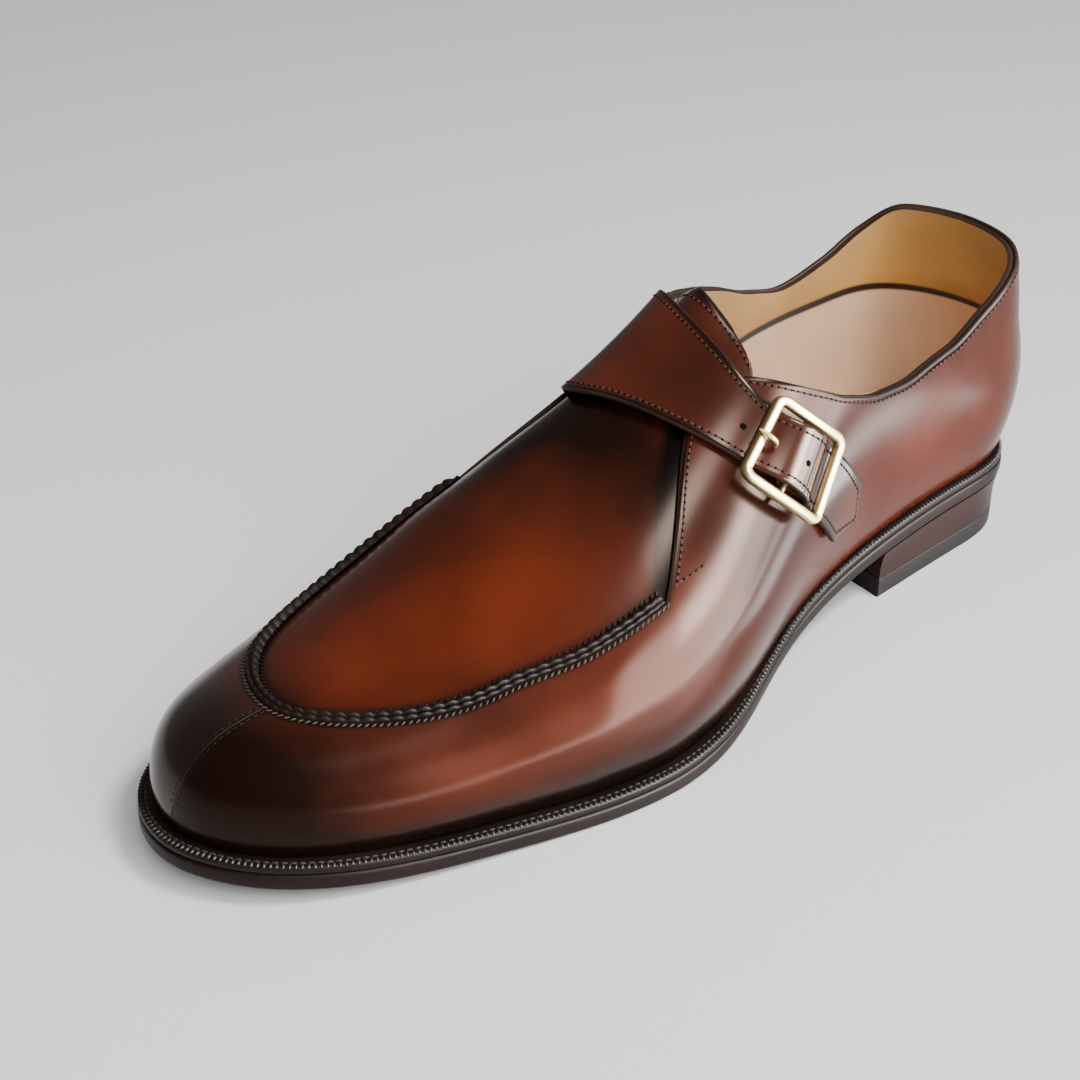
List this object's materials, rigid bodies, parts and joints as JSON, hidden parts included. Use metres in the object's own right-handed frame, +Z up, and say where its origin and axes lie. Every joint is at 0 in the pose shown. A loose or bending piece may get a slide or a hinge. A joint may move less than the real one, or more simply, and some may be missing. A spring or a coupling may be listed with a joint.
{
  "type": "monk strap shoe",
  "caption": "Left monk strap shoe with a split toe apron, one buckled strap over the instep, a welted leather sole and a low stacked heel.",
  "frame": {"origin": "on the floor under the centre of the heel, at the mount heel_rest", "axes": "+X toward the toe, +Y to the wearer's left, the outer side, +Z up"},
  "size_m": [0.299, 0.1008, 0.1],
  "materials": {
    "apron_calf": "polished calf, reddish brown, darker toward the toe",
    "calf": "polished calf, orange brown, burnished dark at the toe and edges",
    "tongue_calf": "polished dark brown calf",
    "seam_calf": "burnished dark brown calf",
    "sock": "matt tan lining leather",
    "sole_leather": "burnished sole leather",
    "welt_leather": "black dyed welt leather",
    "heel_leather": "burnished stacked leather",
    "rubber": "matt black rubber",
    "brass": "polished brass"
  },
  "bodies": {
    "root": {"upper": "apron_calf", "quarter_lateral": "calf", "quarter_medial": "calf", "tongue": "tongue_calf", "apron_seam": "seam_calf", "insole": "sock", "outsole": "sole_leather", "welt": "welt_leather", "heel_stack": "heel_leather", "heel_top_piece": "rubber", "buckle_frame": "brass", "buckle_prong": "brass", "buckle_tab": "tongue_calf"}
  },
  "joints": []
}
